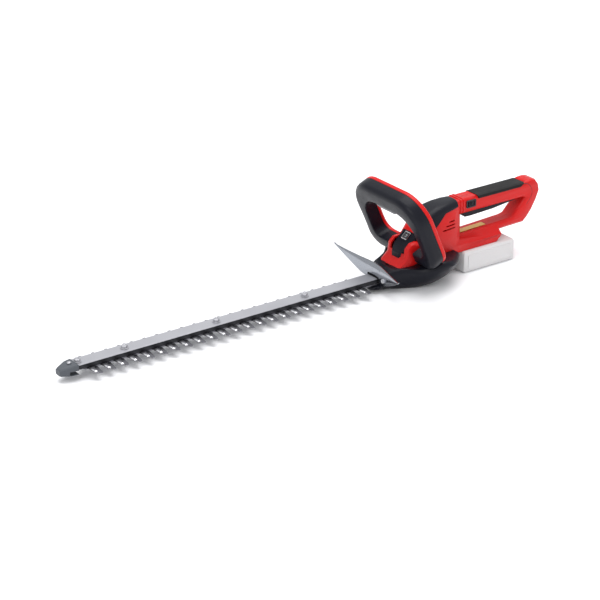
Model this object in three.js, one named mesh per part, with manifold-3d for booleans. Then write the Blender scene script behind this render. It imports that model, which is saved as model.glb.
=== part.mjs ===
// Cordless hedge trimmer. Millimetres, +Z up, +X forward along the blade, +Y to the user's left.
// The floor is z = 0. Pieces are drawn with x = 0 a little ahead of the middle of the length, and the
// whole group is moved so that the origin is the middle of the bounding box's bottom face.
import * as THREE from 'three';
import { mergeVertices } from 'three/addons/utils/BufferGeometryUtils.js';
import Module from 'manifold-3d';

const wasm = await Module();
wasm.setup();

// ---- driving dimensions -------------------------------------------------------------------
const GAP = 0.3; // air between two pieces that touch
const WALL = 3; // moulded wall thickness

// cutting set
const PITCH = 24; // one tooth to the next
const TEETH = 23; // teeth along each edge of a blade
const FIRST_TOOTH_X = 437.5; // the tooth nearest the tip
const TOOTH_REACH = 36; // lower blade's tooth tips from the centre line
const SHORT_REACH = 31; // upper blade's tooth tips
const BLADE_T = 2.5; // thickness of one blade
const BLADE_HALF = 11; // half width of a blade's back
const LOWER_Z = 12.2; // underside of the lower blade
const UPPER_Z = LOWER_Z + BLADE_T + GAP;
const BAR_Z = UPPER_Z + BLADE_T + GAP; // underside of the guide bar
const BAR_T = 6.7; // thickness of the guide bar
const BAR_HALF = 13.5; // half width of the guide bar and its rail
const RAIL_Z = BAR_Z + BAR_T + GAP; // underside of the bright cover rail
const RAIL_T = 1.1;
const BAR_FRONT = 480;
const TONGUE_HALF = 9; // the bar narrows inside the tip guard
const BAR_REAR = -150;
const RAIL_FRONT = 463;
const RAIL_REAR = -124;
const TIP_NOSE = 494.5; // front of the tip guard
const STROKE = 8; // each blade travels this far either way
const BOLT_X = [459, 372.7, 197.5, 19.9];
const STUD_R = 2.6;
const NUT_R = 5.4;
const NUT_H = 5.5;

// drive
const GEAR_X = -192;
const MOTOR_X = -236;
const GEAR_TEETH = 44;
const PINION_TEETH = 9;
const GEAR_R = 35.8;
const PINION_R = 7.9;
const THROW = 7; // eccentric offset

// body
const MID_HALF = 34; // half width of the motor housing
const YOKE_HALF = 29.5; // half width of the front yoke
const HANDLE_HALF = 17; // half width of the rear handle
const DOCK_REAR = -387;
const DOCK_HALF = 30; // half width of the battery dock
const DOCK_FALL = 0.03; // fall of its top for each millimetre forward
const SEAM_Z = 40; // where the red body meets the base
const HANDLE_TOP = 131;
const HANDLE_REAR = -485;
const PANEL_HALF = 19; // half width of the dark front cap
const OPENING_TOP = 104; // underside of the rear grip
const ARM_TOP = 70.5; // top of the lower arm
const ARM_BOTTOM = 56;
const TRIGGER_PIVOT = [-434, 113.6]; // x, z of the trigger's pin

// bail handle, drawn in its own leaning plane: y across, w up the plane, n forward
const BAIL_LEAN = THREE.MathUtils.degToRad(24);
const BAIL_FOOT = new THREE.Vector3(-219.5, 0, 20);
const BAIL_HALF = 90;
const BAIL_INNER = 68;
const BAIL_TOP = 175.5;
const BAIL_INNER_TOP = 146;
const BAIL_BOTTOM = 31;
const BAIL_INNER_BOTTOM = 57;
const BAIL_DEPTH = 16; // half the depth
const BAR_HALF_WIDTH = 30; // of the switch bar under the top bar
const BAIL_SEAM = -8; // n of the joint between the two shells

// battery
const PACK_FRONT = -297;
const PACK_REAR = -413;
const PACK_HALF = 37;
const PACK_TOP = 40;

// ---- materials ----------------------------------------------------------------------------
const finish = (color, roughness, metalness = 0) =>
  new THREE.MeshStandardMaterial({ color, roughness, metalness });
const RED = () => finish(0xd8302c, 0.38);
const DARK = () => finish(0x34353c, 0.55);
const RUBBER = () => finish(0x2c2c2e, 0.9);
const BLACK = () => finish(0x1d1d21, 0.5);
const BRIGHT = () => finish(0xc6c7cc, 0.3, 1);
const STEEL = () => finish(0x8b8d92, 0.35, 1);
const SHEET = () => finish(0x8f939d, 0.45, 0.6);
const SLATE = () => finish(0x5f6672, 0.5);
const AMBER = () => finish(0xd9a441, 0.5);
const PALE = () => finish(0xbfbdbe, 0.45);
const COPPER = () => finish(0xb87347, 0.4, 1);
const BOARD = () => finish(0x1f6b3c, 0.5);
const SILVER = () => finish(0xd4d6da, 0.3, 0.8);

// ---- solid helpers ------------------------------------------------------------------------
function solid(geometry) {
  let g = geometry.index ? geometry.toNonIndexed() : geometry.clone();
  for (const name of Object.keys(g.attributes)) if (name !== 'position') g.deleteAttribute(name);
  g = mergeVertices(g, 1e-4);
  return new wasm.Manifold(
    new wasm.Mesh({
      numProp: 3,
      vertProperties: new Float32Array(g.attributes.position.array),
      triVerts: new Uint32Array(g.index.array),
    }),
  );
}

function geometry(body) {
  const mesh = body.getMesh();
  const g = new THREE.BufferGeometry();
  g.setAttribute('position', new THREE.BufferAttribute(new Float32Array(mesh.vertProperties), 3));
  g.setIndex(new THREE.BufferAttribute(new Uint32Array(mesh.triVerts), 1));
  return g;
}

const join = (...bodies) => bodies.reduce((a, b) => a.add(b));
const cut = (body, ...tools) => tools.reduce((a, b) => a.subtract(b), body);
const common = (...bodies) => bodies.reduce((a, b) => a.intersect(b));

// A box from its lowest to its highest corner.
function box(x0, y0, z0, x1, y1, z1) {
  const g = new THREE.BoxGeometry(x1 - x0, y1 - y0, z1 - z0);
  return solid(g.translate((x0 + x1) / 2, (y0 + y1) / 2, (z0 + z1) / 2));
}

// A cylinder along 'x', 'y' or 'z', from a to b on that axis; c holds the other two coordinates.
function rod(axis, a, b, c, radius, sides = 20, topRadius = radius) {
  const g = new THREE.CylinderGeometry(topRadius, radius, b - a, sides);
  if (axis === 'z') g.rotateX(Math.PI / 2).translate(c[0], c[1], (a + b) / 2);
  if (axis === 'y') g.translate(c[0], (a + b) / 2, c[1]);
  if (axis === 'x') g.rotateZ(-Math.PI / 2).translate((a + b) / 2, c[0], c[1]);
  return solid(g);
}

const outline = (points) => new THREE.Shape(points.map(([u, v]) => new THREE.Vector2(u, v)));

// Extrudes a shape by +-half about its plane, with rounded rims; inset shrinks it on every side.
function slab(shape, half, rim = 0, inset = 0, segments = 2) {
  return new THREE.ExtrudeGeometry(shape, {
    depth: 2 * (half - rim - inset),
    bevelEnabled: rim > 0,
    bevelThickness: rim,
    bevelSize: rim,
    bevelOffset: -rim - inset,
    bevelSegments: segments,
    curveSegments: 4,
  }).translate(0, 0, -(half - rim - inset));
}

// A side-view outline (x, z) made solid to +-half in y.
const sideways = (shape, half, rim = 0, inset = 0, segments = 2) =>
  solid(slab(shape, half, rim, inset, segments).rotateX(Math.PI / 2));

// A plan outline (x, y) from z0 to z1.
const upright = (shape, z0, z1, rim = 0) =>
  solid(slab(shape, (z1 - z0) / 2, rim).translate(0, 0, (z0 + z1) / 2));

// Joins equal-length rings of points into one closed body.
function loft(rings) {
  const positions = rings.flat().flatMap((p) => p.toArray());
  const count = rings[0].length;
  const index = [];
  for (let r = 0; r + 1 < rings.length; r += 1) {
    for (let i = 0; i < count; i += 1) {
      const a = r * count + i;
      const b = r * count + ((i + 1) % count);
      index.push(a, b, b + count, a, b + count, a + count);
    }
  }
  const first = rings[0].map((p) => new THREE.Vector2(p.y, p.z));
  const cap = THREE.ShapeUtils.triangulateShape(first, []);
  const last = (rings.length - 1) * count;
  const forward = THREE.ShapeUtils.isClockWise(first);
  for (const [a, b, c] of cap) {
    if (forward) index.push(a, b, c, last + a, last + c, last + b);
    else index.push(a, c, b, last + a, last + b, last + c);
  }
  const g = new THREE.BufferGeometry();
  g.setAttribute('position', new THREE.Float32BufferAttribute(positions, 3));
  g.setIndex(index);
  let body = solid(g);
  if (body.volume() < 0) {
    const flipped = [];
    for (let i = 0; i < index.length; i += 3) flipped.push(index[i], index[i + 2], index[i + 1]);
    g.setIndex(flipped);
    body = solid(g);
  }
  return body;
}

// ---- the object ---------------------------------------------------------------------------
const trimmer = new THREE.Group();
trimmer.position.x = -(TIP_NOSE + HANDLE_REAR) / 2; // the origin is under the middle of the whole length

function place(name, body, material) {
  const mesh = new THREE.Mesh(geometry(body), material);
  mesh.name = name;
  trimmer.add(mesh);
}

// Rectangle with round corners, centred on (u, v).
function roundRect(u, v, halfU, halfV, r) {
  const s = new THREE.Shape();
  s.absarc(u + halfU - r, v + halfV - r, r, 0, Math.PI / 2);
  s.absarc(u - halfU + r, v + halfV - r, r, Math.PI / 2, Math.PI);
  s.absarc(u - halfU + r, v - halfV + r, r, Math.PI, 1.5 * Math.PI);
  s.absarc(u + halfU - r, v - halfV + r, r, 1.5 * Math.PI, 2 * Math.PI);
  return s;
}

// ---- cutting set --------------------------------------------------------------------------
// One blade's plan: a straight back, teeth on both edges, a ring at the rear round its eccentric.
function blade(z, reach, shift, baseHalf, tipHalf) {
  const front = FIRST_TOOTH_X + PITCH / 2;
  const edge = [];
  for (let i = TEETH - 1; i >= 0; i -= 1) {
    const x = FIRST_TOOTH_X - i * PITCH + shift;
    edge.push([x - baseHalf, BLADE_HALF], [x - tipHalf, reach]);
    edge.push([x + tipHalf, reach], [x + baseHalf, BLADE_HALF]);
  }
  const ringFront = GEAR_X + 31;
  const ringRear = GEAR_X - 30;
  const ringHalf = 21;
  const rear = [[ringRear, 12], [ringRear + 9, ringHalf], [ringFront - 9, ringHalf]];
  const upper = [...rear, [ringFront, BLADE_HALF], ...edge, [front, BLADE_HALF], [front + 3, BLADE_HALF - 4]];
  const lower = upper.map(([x, y]) => [x, -y]).reverse();
  const plan = outline([...upper, ...lower]);
  const ring = roundRect(GEAR_X, 0, THROW + STROKE + 9, THROW + 9, 12);
  const slots = BOLT_X.slice(1).map((x) => roundRect(x, 0, STROKE + 3.4, 3.4, 3.3));
  plan.holes = [ring, ...slots].map((s) => new THREE.Path(s.getPoints(3)));
  return upright(plan, z, z + BLADE_T);
}

function cuttingSet() {
  place('lower_blade', blade(LOWER_Z, TOOTH_REACH, -2, 6, 2.8), STEEL());
  place('upper_blade', blade(UPPER_Z, SHORT_REACH, 4.5, 6, 2.8), STEEL());

  const holes = BOLT_X.map((x) => rod('z', BAR_Z - 1, RAIL_Z + RAIL_T + 1, [x, 0], STUD_R + GAP, 12));
  const beam = box(BAR_REAR, -BAR_HALF, BAR_Z, RAIL_FRONT, BAR_HALF, BAR_Z + BAR_T);
  const tongue = box(RAIL_FRONT - 1, -TONGUE_HALF, BAR_Z, BAR_FRONT, TONGUE_HALF, BAR_Z + BAR_T);
  place('guide_bar', cut(join(beam, tongue), ...holes), BLACK());
  const rail = box(RAIL_REAR, -BAR_HALF, RAIL_Z, RAIL_FRONT, BAR_HALF, RAIL_Z + RAIL_T);
  place('cover_rail', cut(rail, ...holes), BRIGHT());

  const seat = RAIL_Z + RAIL_T + GAP;
  BOLT_X.forEach((x, i) => {
    const foot = i === 0 ? BAR_Z + 1 : LOWER_Z - 1; // the first bolt stands ahead of the blades
    const nut = rod('z', seat, seat + NUT_H, [x, 0], NUT_R, 6);
    const stud = rod('z', foot, seat + NUT_H + 2, [x, 0], STUD_R, 12);
    const head = rod('z', LOWER_Z - 3.4, LOWER_Z - GAP, [x, 0], 6, 16);
    const bolt = i === 0 ? join(nut, stud) : join(nut, stud, head);
    place(`blade_bolt_${i + 1}`, bolt, SILVER());
  });
}

// Wedge of plastic over the front end of the guide bar.
function tipGuard() {
  const rear = RAIL_FRONT + 1.5;
  const section = (x, half, z0, z1, r) =>
    [[half, z0 + r], [half, z1 - r], [half - r, z1], [-half + r, z1], [-half, z1 - r], [-half, z0 + r],
      [-half + r, z0], [half - r, z0]].map(([y, z]) => new THREE.Vector3(x, y, z));
  const wedge = loft([
    section(rear, 15.5, 9.5, 27.5, 2),
    section(rear + 12, 14, 9.5, 26.5, 2),
    section(TIP_NOSE - 3, 8, 10.5, 23, 2),
    section(TIP_NOSE, 6.5, 12, 21.5, 2),
  ]);
  const fit = TONGUE_HALF + GAP;
  const socket = box(rear - 1, -fit, BAR_Z - GAP, BAR_FRONT + GAP, fit, BAR_Z + BAR_T + GAP);
  const slot = box(rear - 1, -20, LOWER_Z - 0.5, rear + 15, 20, BAR_Z - GAP);
  const hole = rod('z', 5, 40, [rear + 9, 0], 2, 12);
  place('tip_guard', cut(wedge, socket, slot, hole), SLATE());
  place('tip_guard_screw', rod('z', 27.2, 29.4, [rear + 9, 0], 3.6, 16, 2.8), SILVER());
}

// Winged hand guard: a bent plate across the root of the blade.
function handGuard() {
  const half = 91;
  const centreX = -126;
  const sweep = 18; // tips forward of the middle
  // share of the half span, and the height of the lower edge there
  const lowEdge = { 1: 54, 0.86: 45.5, 0.63: 33.5, 0.44: 25, 0.33: 21.5, 0.19: 20.5, 0.16: 28 };
  const shares = Object.keys(lowEdge).map(Number).sort((a, b) => a - b);
  const stations = [...shares.map((a) => -a).reverse(), ...shares];
  const thickness = 2.6;
  const rings = stations.map((s) => {
    const a = Math.abs(s);
    const x = centreX + sweep * a ** 1.6;
    const roll = -6.5 * s; // the left wing hangs lower than the right
    const low = lowEdge[a] + roll;
    const high = Math.max(low + 2, 47.5 + 7 * a ** 3 + roll);
    const crease = low + (high - low) * 0.6;
    const lip = 5 * (1 - a);
    return [[x, low], [x, crease], [x - lip, high], [x - lip - thickness, high - 0.6],
      [x - thickness, crease], [x - thickness, low]].map(([px, z]) => new THREE.Vector3(px, s * half, z));
  });
  const swap = rings.map((ring) => ring.map((p) => new THREE.Vector3(p.y, p.x, p.z)));
  let plate = loft(swap);
  plate = plate.mirror([1, -1, 0]);
  const screw = [centreX + 3.4, 33, 29];
  const hole = rod('x', -140, -110, screw.slice(1), 2.6, 12);
  place('hand_guard', cut(plate, hole), SHEET());
  const head = rod('x', screw[0] + 1.3, screw[0] + 3.4, screw.slice(1), 4, 16, 3);
  const shank = rod('x', screw[0] - 8, screw[0] + 2, screw.slice(1), 2, 12);
  place('guard_screw', join(head, shank), SILVER());
  return screw;
}

// ---- base ---------------------------------------------------------------------------------
// Cross-sections of the base bowl: x, keel height, flat half width, full half width and its height,
// half width of the top and its height.
const BASE_STATIONS = [
  [-114, 5, 4, 14, 8, 13, 10.5],
  [-123, 3, 6, 19, 9, 18, 12.5],
  [-132, 1.5, 7, 26, 22, 23, 33],
  [-141, 0, 9, 29, 24, 26, 37],
  [-152, 0, 13, 34, 24, 31, 39.5],
  [-168, 0, 22, 41, 26, 38, 41],
  [-190, 0, 33, 57, 31, 53, 40.2],
  [-205, 0, 35, 70, 36, 66, 46],
  [-221, 0, 35, 78, 44, 75, 53],
  [-242, 6, 33, 77, 44, 73, 51],
  [-262, 19, 31, 63, 42, 60, 49],
  [-277, 33, 30, 48, 42, 45, 48.5],
];

function bowl(inset) {
  const last = BASE_STATIONS.length - 1;
  const rings = BASE_STATIONS.map(([x, keel, flat, full, bulge, rim, top], i) => {
    const low = keel + inset;
    const wide = full - inset;
    const side = [[flat, low], [flat + (wide - flat) * 0.5, low + (bulge - low) * 0.3],
      [flat + (wide - flat) * 0.86, low + (bulge - low) * 0.68], [wide, bulge], [rim - inset, top - inset]];
    const ring = [...side, ...side.map(([y, z]) => [-y, z]).reverse()];
    const end = { 0: -inset, [last]: inset }[i] ?? 0;
    return ring.map(([y, z]) => new THREE.Vector3(x + end, y, z));
  });
  return loft(rings);
}

function base(guardScrew) {
  const throat = box(-300, -MID_HALF + 2.5, 30, -153, MID_HALF - 2.5, 90);
  const bladeSlot = box(-170, -BAR_HALF - GAP, LOWER_Z - 0.8, -100, BAR_HALF + GAP, BAR_Z + BAR_T + GAP);
  const ear = box(-139, 22, 22, -131, 38, 34);
  const hole = rod('x', -150, -120, guardScrew.slice(1), 2.4, 12);
  const noseRoom = box(-129.5, -60, 15, -100, 60, 60); // the hand guard stands here
  const packRoom = box(-330, -PACK_HALF - 1, -5, PACK_FRONT + 2, PACK_HALF + 1, 60);
  const tub = join(cut(bowl(0), bowl(WALL)), ear);
  const rooms = [throat, bladeSlot, noseRoom, packRoom, hole, redEnvelope(-GAP)];
  place('base_shell', cut(tub, ...rooms), DARK());
}

// ---- red body -----------------------------------------------------------------------------
// Cross-sections of the motor housing: x, half width below, half width of the top and its height.
const MID_STATIONS = [
  [-203, 32, 23, 92],
  [-210, 33, 24, 100],
  [-217, 34, 24, 111],
  [-228, 34, 24, 120],
  [-246, 34, 24, 127],
  [-262, 33, 23, 130],
  [-280, 30, 21, 131.5],
  [-292, 25, 19, 131.5],
  [-299, 20, 17.5, 131.5],
];
const YOKE_SHAPE = outline([[-159, 26], [-159, 40], [-175, 54], [-177, 70], [-186, 79], [-197, 80],
  [-214, 76], [-214, 26]]);
const CAP_LOW = [-180, 68]; // lower and upper end of the cap's slope
const CAP_HIGH = [-204, 91];
const BADGE_SHARE = 0.68; // the badge's place up the slope
const CAP_SHAPE = outline([[-186, 45], [-172, 50], [-172, 60], CAP_LOW, CAP_HIGH, [-212, 91], [-212, 45]]);

function handleShape() {
  const top = [[-297, HANDLE_TOP], [-448, HANDLE_TOP], [-458, 133], [-466, 133.5], [-475, 132]];
  const rear = [[-482, 123], [HANDLE_REAR, 110], [-478, 93], [-468, 76], [-458, 64]];
  const s = outline([...top, ...rear, [-449, ARM_BOTTOM], [-280, 52], [-280, 116]]);
  const grip = [[-292, ARM_TOP - 5.5], [-300, OPENING_TOP], [-448, OPENING_TOP], [-452, 101]];
  const heel = [[-446, 94], [-434, 82], [-425, 72.5], [-416, ARM_TOP]];
  s.holes = [new THREE.Path(outline([...grip, ...heel]).getPoints())];
  return s;
}

const rearHandle = (inset) => sideways(handleShape(), HANDLE_HALF, 5 - Math.max(inset, 0), inset);

// The motor housing narrows towards its top and its rear; its top edges are rounded.
function midBody(inset) {
  const last = MID_STATIONS.length - 1;
  const bottom = SEAM_Z + Math.min(inset, 0);
  const waist = 72; // the sides start to lean in here
  const rings = MID_STATIONS.map(([x, low, high, top], i) => {
    const [a, b, z] = [low - inset, high - inset, top - inset];
    const wall = [[a, bottom], [a, waist], [a + (b - a) * 0.3, waist + (z - 9 - waist) * 0.5]];
    const crown = [[b + 0.5, z - 9], [b - 2.2, z - 3.8], [b - 7.5, z - 0.7], [b - 12, z]];
    const side = [...wall, ...crown];
    const ring = [...side, ...side.map(([y, h]) => [-y, h]).reverse()];
    const end = { 0: -inset, [last]: inset }[i] ?? 0;
    return ring.map(([y, h]) => new THREE.Vector3(x + end, y, h));
  });
  return loft(rings);
}

function yoke(inset) {
  const block = sideways(YOKE_SHAPE, YOKE_HALF, 6 - Math.max(inset, 0), inset);
  return cut(block, box(-400, -60, 0, -100, 60, SEAM_Z + Math.min(inset, 0)));
}

// The dock above the battery: flat sides, sloping shoulders and a flat top that falls forward.
const dockTop = (x) => ARM_TOP - 2 - DOCK_FALL * (x - DOCK_REAR);

function dock(inset) {
  const top = (x) => dockTop(x) - inset;
  const low = PACK_TOP + GAP + (inset > 0 ? 13.5 : inset);
  const side = DOCK_HALF - inset;
  const shoulder = 53 - inset * 0.4;
  const edge = Math.max(low + 0.5, shoulder);
  const ring = (x) =>
    [[side, low], [side, edge], [13, top(x)], [-13, top(x)], [-side, edge], [-side, low]]
      .map(([y, z]) => new THREE.Vector3(x, y, z));
  const block = loft([ring(DOCK_REAR + inset), ring(-262 - inset)]);
  const undercut = [[14, 30], [14, 38], [2, 49], [-2, 55], [-20, 55], [-20, 30]];
  return cut(block, sideways(outline(undercut.map(([x, z]) => [DOCK_REAR + x, z])), 60));
}

const redEnvelope = (inset) => join(midBody(inset), yoke(inset), rearHandle(inset), dock(inset));

// The wedge of the body's top that the dark saddle cover takes.
function saddleWedge(grow) {
  const top = [[-195 + grow, 150], [-297 - grow, 150], [-294 - grow, 122 - grow]];
  const low = [[-262, 118 - grow], [-238, 99 - grow], [-195 + grow, 99 - grow]];
  return sideways(outline([...top, ...low]), 60);
}

// The dark front cap: its front corners are cut away in the plan view.
function capBlock(inset) {
  const half = PANEL_HALF - inset;
  const nose = 8.5 - 1.3 * inset; // half width of the front face
  const plan = [[-240, -half], [-185, -half], [-171, -nose], [-171, nose], [-185, half], [-240, half]];
  const rim = 4 - Math.max(inset, 0);
  return common(sideways(CAP_SHAPE, PANEL_HALF, rim, inset), upright(outline(plan), 0, 120));
}

// The part of the rear grip that the rubber pad takes.
function padRegion(grow) {
  const front = [[-340 + grow, 140], [-340.5 + grow, 131], [-342 + grow, 126 - grow]];
  const rear = [[-438 - grow, 126 - grow], [-448 - grow, 131], [-448 - grow, 140]];
  return sideways(outline([...front, ...rear]), 40);
}

const BEZEL = { x: -324.5, z: 120.4, halfX: 10.5, halfZ: 7 };
const VENTS = [[100, 14], [94, 22], [88, 30]]; // height and length of each slot
const VENT_REAR = -282;

function redBody() {
  const inner = join(midBody(WALL), yoke(WALL), rearHandle(WALL), dock(WALL));
  const vents = VENTS.map(([z, length]) => box(VENT_REAR, -50, z, VENT_REAR + length, 50, z + 2.4));
  const floorOpening = box(-285, -MID_HALF + 8, SEAM_Z - 5, -170, MID_HALF - 8, SEAM_Z + 8);
  const triggerSlot = box(-443, -11.6, OPENING_TOP - 4, -305, 11.6, OPENING_TOP + 6);
  const channel = box(-420, -21.5, 30, -292, 21.5, 51);
  const terminalHole = box(-331, -12.2, 48, -299, 12.2, 58);
  const buttonHole = box(BEZEL.x - 7.4, 5, BEZEL.z - 5, BEZEL.x + 7.4, 30, BEZEL.z + 5);
  const padSeat = cut(padRegion(GAP), rearHandle(1.5));
  const capHalf = PANEL_HALF + GAP;
  const capRoom = box(-202.7, -capHalf, 60, -150, capHalf, 100);
  const seats = [padSeat, capBlock(-GAP), capRoom, saddleWedge(GAP)];
  const slots = [...vents, floorOpening, triggerSlot, channel, terminalHole];
  const shell = cut(redEnvelope(0), inner, ...seats, ...slots, ...screwHoles());
  const left = cut(common(shell, box(-600, GAP / 2, 0, 0, 100, 200)), buttonHole);
  const right = common(shell, box(-600, -100, 0, 0, -GAP / 2, 200));
  place('housing_left', left, RED());
  place('housing_right', right, RED());
}

// Screws that hold the halves together, sunk in the right half: x, z.
const SCREWS = [[-470, 118], [-456, 70], [-276, 60]];

function screwHoles() {
  return SCREWS.map(([x, z]) => rod('y', -40, -HANDLE_HALF + WALL, [x, z], 3.4, 12));
}

function housingScrews() {
  SCREWS.forEach(([x, z], i) => {
    const depth = x > -290 ? -DOCK_HALF : -HANDLE_HALF;
    place(`housing_screw_${i + 1}`, rod('y', depth + 0.6, depth + 2.8, [x, z], 3, 14), STEEL());
  });
}

function covers() {
  const saddle = cut(common(midBody(-0.8), saddleWedge(0)),
    midBody(WALL), rearHandle(-GAP), box(-212, -60, 85, -150, 60, 200));
  place('saddle_cover', saddle, DARK());
  const back = box(-230, -14, 50, -208, 14, 92);
  const cap = cut(capBlock(0), capBlock(WALL), back, saddleWedge(GAP), midBody(-GAP));
  place('front_cap', cap, DARK());
  const slope = Math.atan2(CAP_HIGH[1] - CAP_LOW[1], CAP_LOW[0] - CAP_HIGH[0]);
  const tile = slab(roundRect(0, 0, 7.4, 7.4, 1.5), 0.6);
  const [x, z] = CAP_LOW.map((low, i) => low + BADGE_SHARE * (CAP_HIGH[i] - low));
  const lift = 1.15; // clear of the slope
  tile.rotateY(slope).translate(x + lift * Math.sin(slope), 0, z + lift * Math.cos(slope));
  place('cap_badge', solid(tile), SILVER());
}

function rearControls() {
  const pad = cut(common(rearHandle(-1), padRegion(0)), rearHandle(1.2));
  place('grip_pad', pad, RUBBER());

  const face = [[-309, 104], [-313, 98], [-319, 93.5], [-330, 93], [-382, 95], [-428, 100], [-438, 103]];
  const heel = [[-441, 112], [-439, 117.5], [-429, 117.5], [-425, 112.5], [-309, 112.5]];
  const lever = sideways(outline([...face, ...heel]), 10.8, 2.5);
  const buttonRelief = box(-337, 7.5, 106.5, -300, 20, 120); // lets the lock button in past the lever
  place('trigger', cut(lever, rod('y', -20, 20, TRIGGER_PIVOT, 2.3, 14), buttonRelief), DARK());
  place('trigger_pin', rod('y', -11.9, 11.9, TRIGGER_PIVOT, 2, 14), STEEL());
  place('trigger_spring', spring([-352, 0, 113.2], 3, 14.2, 4), STEEL());

  const { x, z, halfX, halfZ } = BEZEL;
  const plate = slab(roundRect(x, z, halfX, halfZ, 2), 0.9).rotateX(Math.PI / 2);
  const opening = box(x - 7.4, 0, z - 5, x + 7.4, 40, z + 5);
  place('lock_bezel', cut(solid(plate.translate(0, HANDLE_HALF + 1.2, 0)), opening), BLACK());
  const cheek = box(x - 7, 10.5, z - 4.6, x + 7, HANDLE_HALF + 2.6, z + 4.6);
  place('lock_button', join(cheek, rod('y', HANDLE_HALF + 2, HANDLE_HALF + 3.4, [x, z], 3, 16)), BLACK());

  place('main_switch', box(-424, -10, 115, -398, 10, 127), BLACK());
}

// A round-wire compression spring standing on a point.
function spring(foot, radius, height, turns) {
  class Helix extends THREE.Curve {
    getPoint(t) {
      const a = 2 * Math.PI * turns * t;
      return new THREE.Vector3(radius * Math.cos(a), radius * Math.sin(a), 0.5 + (height - 1) * t);
    }
  }
  const wire = new THREE.Shape(new THREE.Path().absarc(0, 0, 0.4, 0, 2 * Math.PI).getPoints(2).slice(0, -1));
  const path = { steps: turns * 10, extrudePath: new Helix(), bevelEnabled: false };
  return solid(new THREE.ExtrudeGeometry(wire, path).translate(...foot));
}

// ---- bail handle --------------------------------------------------------------------------
function bailPlane(g) {
  const across = new THREE.Vector3(0, 1, 0);
  const up = new THREE.Vector3(Math.sin(BAIL_LEAN), 0, Math.cos(BAIL_LEAN));
  const forward = new THREE.Vector3().crossVectors(across, up);
  const m = new THREE.Matrix4().makeBasis(across, up, forward).setPosition(BAIL_FOOT);
  return solid(g.applyMatrix4(m));
}

// The loop's outline in its plane, with different radii at the top and the bottom.
function loop(half, bottom, top, rTop, rBottom) {
  const s = new THREE.Shape();
  s.absarc(half - rTop, top - rTop, rTop, 0, Math.PI / 2);
  s.absarc(-half + rTop, top - rTop, rTop, Math.PI / 2, Math.PI);
  s.absarc(-half + rBottom, bottom + rBottom, rBottom, Math.PI, 1.5 * Math.PI);
  s.absarc(half - rBottom, bottom + rBottom, rBottom, 1.5 * Math.PI, 2 * Math.PI);
  return s;
}

function bailRing(inset) {
  const s = loop(BAIL_HALF, BAIL_BOTTOM, BAIL_TOP, 50, 30);
  s.holes = [new THREE.Path(loop(BAIL_INNER, BAIL_INNER_BOTTOM, BAIL_INNER_TOP, 40, 16).getPoints(5))];
  return bailPlane(slab(s, BAIL_DEPTH, 5 - inset, inset));
}

const bailBlock = (y0, w0, n0, y1, w1, n1) =>
  bailPlane(new THREE.BoxGeometry(y1 - y0, w1 - w0, n1 - n0)
    .translate((y0 + y1) / 2, (w0 + w1) / 2, (n0 + n1) / 2));

function bail() {
  const middle = box(-300, -MID_HALF - 0.6, 0, -100, MID_HALF + 0.6, 105);
  const ring = cut(bailRing(0), bailRing(2.5), middle);
  const barSlot = bailBlock(-BAR_HALF_WIDTH - 0.5, 132, -6.4, BAR_HALF_WIDTH + 0.5, 152.5, 13.4);
  const ahead = bailBlock(-120, 0, BAIL_SEAM + GAP / 2, 120, 220, 40);
  const behind = bailBlock(-120, 0, -40, 120, 220, BAIL_SEAM - GAP / 2);
  place('bail_front', cut(common(ring, ahead), barSlot), DARK());
  place('bail_rear', common(ring, behind), RED());
  const paddle = loop(BAR_HALF_WIDTH, BAIL_INNER_TOP - 8.5, BAIL_INNER_TOP + 6, 3, 5);
  const bar = bailPlane(slab(paddle, 9.5, 1.5).translate(0, 0, 3.5));
  place('bail_switch_bar', bar, DARK());
  const microSwitch = bailBlock(-48, BAIL_INNER_TOP + 11.2, -4, -22, BAIL_INNER_TOP + 21, 8);
  place('bail_switch', microSwitch, BLACK());
}

// ---- drive --------------------------------------------------------------------------------
function gearPlan(teeth, tip, root, cx) {
  const points = [];
  for (let i = 0; i < teeth; i += 1) {
    for (const [f, r] of [[0, root], [0.25, tip], [0.5, tip], [0.75, root]]) {
      const a = (2 * Math.PI * (i + f)) / teeth;
      points.push([cx + r * Math.cos(a), r * Math.sin(a)]);
    }
  }
  return outline(points);
}

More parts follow.
